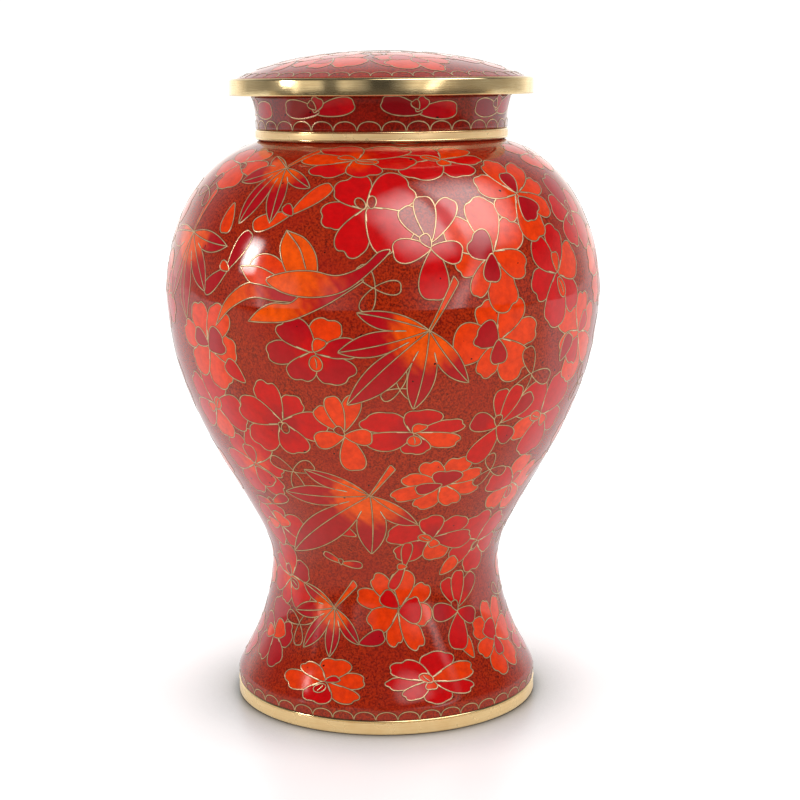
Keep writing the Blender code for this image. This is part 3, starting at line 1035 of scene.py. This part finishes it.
def turned_metal(name, light, dark, rough, marks=0.3, metal=0.95):
    """Metal with turning marks round the axis."""
    made, tree, shader = material(name)
    rings = noise(tree, place(tree, (0.02, 0.02, 1.0)), 0.22, 2.0, 0.7)
    stain = noise(tree, place(tree), 11.0, 3.0)
    colour = mix(tree, ramp(tree, rings, 0.35, 0.7, 0.0, 0.5), light, dark)
    colour = mix(tree, ramp(tree, stain, 0.45, 0.75, 0.0, 0.45), colour, dark)
    dull = ramp(tree, stain, 0.3, 0.8, rough, rough + 0.12)
    grooves = bumps(tree, rings, marks, 0.1)
    feed(tree, shader, Base_Color=colour, Metallic=metal, Roughness=dull, Normal=grooves)
    return made


def soft_stuff(name, light, dark, size):
    """Felt or cork: matt and mottled."""
    made, tree, shader = material(name)
    speck = noise(tree, place(tree), size, 4.0, 0.7)
    colour = mix(tree, ramp(tree, speck, 0.35, 0.65), dark, light)
    feed(tree, shader, Base_Color=colour, Roughness=0.95, Normal=bumps(tree, speck, 0.6, 0.3))
    return made


# ---------------- pieces


def finish_piece(obj, body, slot, *nodes):
    """Let a piece ride on its body and stand in for the CAD nodes named. The slot is not used."""
    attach(obj, body)
    if nodes:
        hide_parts(*nodes)
    return obj


def outer_skin(wall, low, high):
    """The wall's outline between two heights, thinned to RING_STEP."""
    points = wall.outline
    points = points[(points[:, 1] >= low - OUTLINE_STEP) & (points[:, 1] <= high + OUTLINE_STEP)]
    count = max(2, int(arc_length(points)[-1] / RING_STEP) + 1)
    return points[np.linspace(0, len(points) - 1, count).round().astype(int)]


def body_pieces(wall, ground, fill, wire):
    """Ground enamel, fills and wires of the body, zone by zone."""
    sheets = [(Sheet(), Sheet()) for _ in ZONES]
    floors = [low for _, low in ZONES]

    def sheet_for(height):
        return sheets[next(i for i, low in enumerate(floors) if height >= low)]

    lay(body_pattern(wall), sheet_for)
    tops = [wall.outline[-1, 1], *floors[:-1]]
    for (name, low), high, (fills, wires) in zip(ZONES, tops, sheets):
        ground_piece = turned(f"{name}_ground", outer_skin(wall, low, high), ground)
        finish_piece(ground_piece, "vase", "enamel", "body_enamel")
        finish_piece(fills.build(f"{name}_fills", fill), "vase", "enamel")
        finish_piece(wires.build(f"{name}_wires", wire), "vase", "satin_brass")


def one_wall(name, pattern, body, fill, wire):
    """Fills and wires of a wall that is drawn as one zone."""
    fills, wires = Sheet(), Sheet()
    lay(pattern, lambda height: (fills, wires))
    finish_piece(fills.build(f"{name}_fills", fill), body, "enamel")
    finish_piece(wires.build(f"{name}_wires", wire), body, "satin_brass")


def closed_coat(name, wall, finish, level_ends=False):
    """An enamel coat with its thickness, so that its edges close."""
    outer = outer_skin(wall, wall.outline[:, 1].min(), wall.outline[:, 1].max())
    stations = np.interp(outer[:, 1], wall.outline[:, 1], wall.along)
    inner = outer - read(wall.normal, wall.along, stations) * COAT_THICKNESS
    inner[:, 0] = np.maximum(inner[:, 0], 0.0)
    if level_ends:
        inner[0, 1], inner[-1, 1] = outer[0, 1], outer[-1, 1]
    return turned(name, np.vstack([outer, inner[::-1]]), finish, closed=True)


def ring(name, corners, ease, finish, body, slot, *nodes):
    """A turned ring from the corners of its section, with eased edges."""
    return finish_piece(turned(name, rounded(corners, ease), finish, True), body, slot, *nodes)


def bead(name, radius, height, size, finish):
    """A thin polished bead round the vase."""
    turn = np.linspace(0, 2 * math.pi, 16, endpoint=False)
    section = np.column_stack([radius + size * np.cos(turn), height + size * np.sin(turn)])
    finish_piece(turned(name, section, finish, True), "vase", "polished_brass")


def ridge(radius, bottom):
    """The mesh of a right-handed thread that winds up a wall of the given radius."""
    spots = []
    count, sides = THREAD_TURNS * SEGMENTS, len(THREAD_SECTION)
    for i in range(count + 1):
        angle = i * 2 * math.pi / SEGMENTS
        size = THREAD_RIDGE * min(1.0, 0.1 + min(i, count - i) / THREAD_RUNOUT)
        height = bottom + THREAD_PITCH * i / SEGMENTS
        for out, up in THREAD_SECTION:
            reach = radius + out * size
            spot = (reach * math.cos(angle), reach * math.sin(angle), height + up * size)
            spots.append([v * MM for v in spot])
    faces = quads(count + 1, sides, False, True, flip=True)
    faces.append(tuple(range(sides)))
    faces.append(tuple(reversed(range(count * sides, (count + 1) * sides))))
    mesh = bpy.data.meshes.new("ridge")
    mesh.from_pydata(spots, [], faces)
    return mesh


def threaded(name, corners, radius, bottom, finish, body, *nodes):
    """A turned sleeve and its thread in one mesh."""
    sleeve = ring(name, corners, 0.15, finish, body, "polished_brass", *nodes)
    thread = ridge(radius, bottom)
    work = bmesh.new()
    work.from_mesh(sleeve.data)
    work.from_mesh(thread)
    work.to_mesh(sleeve.data)
    work.free()
    bpy.data.meshes.remove(thread)


def rings_of(satin, bright):
    """Foot ring, neck ring and lid rim."""
    ring("foot_band", FOOT_BAND, 0.3, satin, "vase", "satin_brass", "foot_ring")
    ring("neck_band", NECK_BAND, 0.2, satin, "vase", "satin_brass", "neck_ring")
    ring("rim_band", RIM_BAND, 0.25, bright, "lid", "polished_brass", "lid_rim")
    for name, radius, height, size in BEADS:
        bead(name, radius, height, size, bright)


def screw_parts(bright):
    """The mouth ring and the lid's collar with the threads that hold the lid."""
    mouth_radius, collar_radius = MOUTH[0][0], COLLAR[1][0]
    threaded("mouth_sleeve", MOUTH, mouth_radius, MOUTH_THREAD_START, bright, "vase", "mouth_ring")
    threaded("collar_sleeve", COLLAR, collar_radius, LID_THREAD_START, bright, "lid", "lid_collar")


COPPER_SHEET = ("foot_shell", "lower_body_shell", "upper_body_shell", "neck_shell", "lid_dome", "base_plate")


def build():
    """All pieces of the vase and its lid."""
    ground = ground_enamel("ground_enamel", shade(112, 19, 5), shade(174, 45, 9))
    # The neck's ground enamel is a darker copy of the body's: painted shade, as under the lid rim.
    neck_shade_ground = ground_enamel("neck_ground_painted_shade", shade(86, 9, 4), shade(138, 24, 8))
    fill, wire = fill_enamel(), wire_brass()
    satin = turned_metal("satin_brass", shade(255, 224, 168), shade(236, 190, 124), 0.24, 0.2, 0.35)
    bright = turned_metal("polished_brass", shade(252, 228, 176), shade(214, 174, 112), 0.07, 0.12)
    copper = turned_metal("copper_sheet", shade(214, 130, 98), shade(130, 66, 44), 0.3)
    felt = soft_stuff("felt", shade(72, 30, 32), shade(36, 14, 16), 0.8)
    cork = soft_stuff("cork", shade(190, 146, 100), shade(120, 80, 48), 0.9)

    body_pieces(Wall(cad_outline("body_enamel", side_skin)), ground, fill, wire)
    neck_wall = Wall(cad_outline("neck_enamel", side_skin))
    neck_coat = closed_coat("neck_ground", neck_wall, neck_shade_ground, level_ends=True)
    finish_piece(neck_coat, "vase", "enamel", "neck_enamel")
    one_wall("neck", neck_pattern(neck_wall), "vase", fill, wire)
    lid_wall = Dome(cad_outline("lid_enamel", top_skin))
    finish_piece(closed_coat("lid_ground", lid_wall, ground), "lid", "enamel", "lid_enamel")
    one_wall("lid", lid_pattern(lid_wall), "lid", fill, wire)
    rings_of(satin, bright)
    screw_parts(bright)

    finishes = dict.fromkeys(COPPER_SHEET, copper)
    finishes.update(lid_lining=satin, base_felt=felt, lid_seal=cork)
    for name, finish in finishes.items():
        mesh = frame["nodes"][name].data
        mesh.materials.clear()
        mesh.materials.append(finish)


# ---------------- floor, light and camera


def floor():
    """A pale sheet with painted contact shade round the vase and a faint glow. In reflections it is a painted
    glow whose near half is dimmed, as by the dark room behind the camera.
    """
    made, tree, shader = material("floor_paint")
    haze = ramp(tree, noise(tree, place(tree), 60.0), 0.3, 0.7)
    colour = mix(tree, haze, shade(250, 250, 250), shade(253, 253, 253))
    # Painted shade: ambient occlusion darkens the floor near the vase, a painted contact shadow; the same
    # darkened colour feeds the faint glow.
    painted_contact_shade = node(tree, "AmbientOcclusion", {"samples": 16}, Distance=0.06).outputs["AO"]
    colour = mix(tree, ramp(tree, painted_contact_shade, 0.46, 0.94), shade(34, 36, 38), colour)
    feed(tree, shader, Base_Color=colour, Emission_Color=colour, Emission_Strength=0.17, Roughness=0.3)
    # Painted reflection: glossy rays see an emission in place of the floor, dim near the camera and white far
    # off.
    depth = node(tree, "SeparateXYZ", Vector=node(tree, "TexCoord").outputs["Camera"]).outputs["Z"]
    dim = mix(tree, ramp(tree, depth, 0.3, 0.56), (0.06, 0.05, 0.04), (0.62, 0.54, 0.42))
    painted_reflection_glow = node(tree, "Emission", Color=mix(tree, ramp(tree, depth, 0.7, 0.82), dim, (1.0, 1.0, 1.0)))
    is_reflection = node(tree, "LightPath").outputs["Is Glossy Ray"]
    both = node(tree, "MixShader")
    for socket, value in zip(both.inputs, (is_reflection, shader.outputs[0], painted_reflection_glow.outputs[0])):
        join(tree, socket, value)
    feed(tree, tree.nodes["Material Output"], Surface=both.outputs[0])
    bpy.ops.mesh.primitive_plane_add(size=8)
    plane = bpy.context.object
    plane.name = "floor"
    plane.data.materials.append(made)
    return plane


# How bright the room is in reflections near the horizon, by azimuth in degrees from the camera
ROOM = (
    (-180, 1.6), (-138, 1.3), (-118, 0.4), (-92, 0.2), (-76, 0.35), (-58, 0.75), (-46, 0.8),
    (-42, 0.1), (-34, 0.12), (-28, 0.75), (-14, 0.3), (-6, 0.02), (6, 0.02), (16, 0.3),
    (26, 1.0), (45, 0.6), (62, 0.28), (100, 0.35), (124, 0.6), (142, 1.3), (180, 1.6),
)
ROOM_BRIGHTEST = 1.6
DAYLIGHT = 1.1  # the even light on everything that is no reflection

# Lamps and narrow gleams in reflections. In degrees: azimuth from the camera and half width, elevation and
# half height, lean of the azimuth per degree of elevation; then the softness of the edge and the brightness.
GLEAMS = (
    ((38, 6), (2, 34), 0.6, 0.8, 2.2),
    ((-66, 4), (-2, 22), 0.0, 0.9, 1.8),
)


def calculate(tree, operation, *values):
    """The result of a sum on values or outputs."""
    made = node(tree, "Math", {"operation": operation})
    for socket, value in zip(made.inputs, values):
        join(tree, socket, value)
    return made.outputs[0]


def fade(tree, value, middle, half, softness):
    """1 round the middle and 0 from half away on; softness is the share of half that fades."""
    aside = calculate(tree, "ABSOLUTE", calculate(tree, "SUBTRACT", value, middle))
    return ramp(tree, aside, half * (1 - softness), half, 1.0, 0.0)


def gleam_light(tree, azimuth, elevation):
    """The light of all gleams together."""
    total = 0.0
    for (middle, half), (level, tall), lean, softness, light in GLEAMS:
        leaning = calculate(tree, "MULTIPLY_ADD", elevation, lean, float(middle))
        across = fade(tree, azimuth, leaning, half, softness)
        up = fade(tree, elevation, float(level), tall, softness)
        total = calculate(tree, "MULTIPLY_ADD", calculate(tree, "MULTIPLY", across, up), light, total)
    return total


def room_light(tree, azimuth):
    """The light of the walls by azimuth in degrees."""
    bands = node(tree, "ValToRGB", Fac=ramp(tree, azimuth, -180, 180))
    stops = bands.color_ramp.elements
    for k, (degrees, light) in enumerate(ROOM):
        where = degrees / 360 + 0.5
        stop = stops[k] if k < 2 else stops.new(where)
        stop.position = where
        share = light / ROOM_BRIGHTEST
        stop.color = (share, share * 0.97, share * 0.92, 1)
    return bands.outputs["Color"]


def world():
    """White to the camera and for soft light. Reflections see a room that is dark round the camera."""
    made = bpy.data.worlds.new("studio")
    made.use_nodes = True
    tree = made.node_tree
    tree.nodes.clear()
    spot = node(tree, "TexCoord").outputs
    view = node(tree, "SeparateXYZ", Vector=spot["Camera"]).outputs
    height = node(tree, "SeparateXYZ", Vector=spot["Generated"]).outputs["Z"]
    turn = calculate(tree, "ARCTAN2", view["X"], calculate(tree, "MULTIPLY", view["Z"], -1.0))
    azimuth = calculate(tree, "DEGREES", turn)
    elevation = calculate(tree, "DEGREES", calculate(tree, "ARCSINE", height))
    band = ramp(tree, calculate(tree, "ABSOLUTE", height), 0.14, 0.3, 1.0, 0.0)
    behind = calculate(tree, "POWER", ramp(tree, view["Z"], 0.1, 0.9), 1.6)
    away = ramp(tree, behind, 0.0, 1.0, 0.04, 0.75)
    room = mix(tree, band, away, room_light(tree, azimuth))
    gleams = calculate(tree, "DIVIDE", gleam_light(tree, azimuth, elevation), ROOM_BRIGHTEST)
    room = mix(tree, 1.0, room, gleams, "ADD")
    path = node(tree, "LightPath").outputs["Is Glossy Ray"]
    white = DAYLIGHT / ROOM_BRIGHTEST
    seen = mix(tree, path, (white, white, white), room)
    shine = node(tree, "Background", Color=seen, Strength=ROOM_BRIGHTEST)
    node(tree, "OutputWorld", Surface=shine.outputs[0])
    bpy.context.scene.world = made


NO_BAR = -1.0
# Lights in reflections: direction and distance (m) from the target, width and height (m), brightness, the
# target (m) and where a dark bar stands across, from 0 to 1 over the width
BOXES = (
    ((0.46, -0.42, 0.77), 0.6, (0.98, 0.68), 6.0, (0.03, -0.07, 0.205), 0.47),
    ((-0.92, -0.23, 0.32), 0.45, (0.1, 0.15), 24.0, (-0.049, -0.07, 0.192), NO_BAR),
)


def soft_box(direction, distance, size, brightness, target, gap):
    """A light with fading edges that faces the target and shows in reflections only."""
    light = bpy.data.lights.new("soft_box", "AREA")
    light.shape = "RECTANGLE"
    light.size, light.size_y = size
    light.energy = brightness * math.pi * size[0] * size[1]
    light.use_nodes = True
    tree = light.node_tree
    spot = node(tree, "NewGeometry").outputs["Parametric"]
    across, up, _ = node(tree, "SeparateXYZ", Vector=spot).outputs
    share = calculate(tree, "MULTIPLY", fade(tree, up, 0.5, 0.5, 0.6), fade(tree, across, 0.5, 0.5, 0.56))
    from_bar = calculate(tree, "ABSOLUTE", calculate(tree, "SUBTRACT", across, gap))
    share = calculate(tree, "MULTIPLY", ramp(tree, from_bar, 0.02, 0.06, 0.25, 1.0), share)
    feed(tree, tree.nodes["Emission"], Strength=share)
    obj = bpy.data.objects.new("soft_box", light)
    obj.visible_diffuse = False
    bpy.context.scene.collection.objects.link(obj)
    away = Vector(direction).normalized()
    obj.location = Vector(target) + away * distance
    obj.rotation_euler = away.to_track_quat("Z", "Y").to_euler()
    return obj


CAMERA_PLACE = (0, -0.7305, 0.2563)  # metres
CAMERA_DIP = 10.3  # degrees that it looks down
CAMERA_ROLL = -0.5  # degrees: the vase leans a little in the photograph


def camera():
    """The view of the photograph."""
    data = bpy.data.cameras.new("camera")
    data.lens = 79.86
    data.shift_x = 0.02
    obj = bpy.data.objects.new("camera", data)
    bpy.context.scene.collection.objects.link(obj)
    obj.location = CAMERA_PLACE
    tilt = Matrix.Rotation(math.radians(90 - CAMERA_DIP), 3, "X")
    roll = Matrix.Rotation(math.radians(CAMERA_ROLL), 3, "Z")
    obj.rotation_euler = (tilt @ roll).to_euler()
    bpy.context.scene.camera = obj


def lights(unlit):
    """A large box high on the right and a small lamp on the left. Neither lights the unlit piece."""
    lit = bpy.data.collections.new("lit")
    for obj in bpy.context.scene.objects:
        if obj.type == "MESH" and obj is not unlit:
            lit.objects.link(obj)
    for row in BOXES:
        soft_box(*row).light_linking.receiver_collection = lit


build()
pale_sheet = floor()
world()
camera()
lights(pale_sheet)
bpy.context.scene.view_settings.view_transform = "Standard"
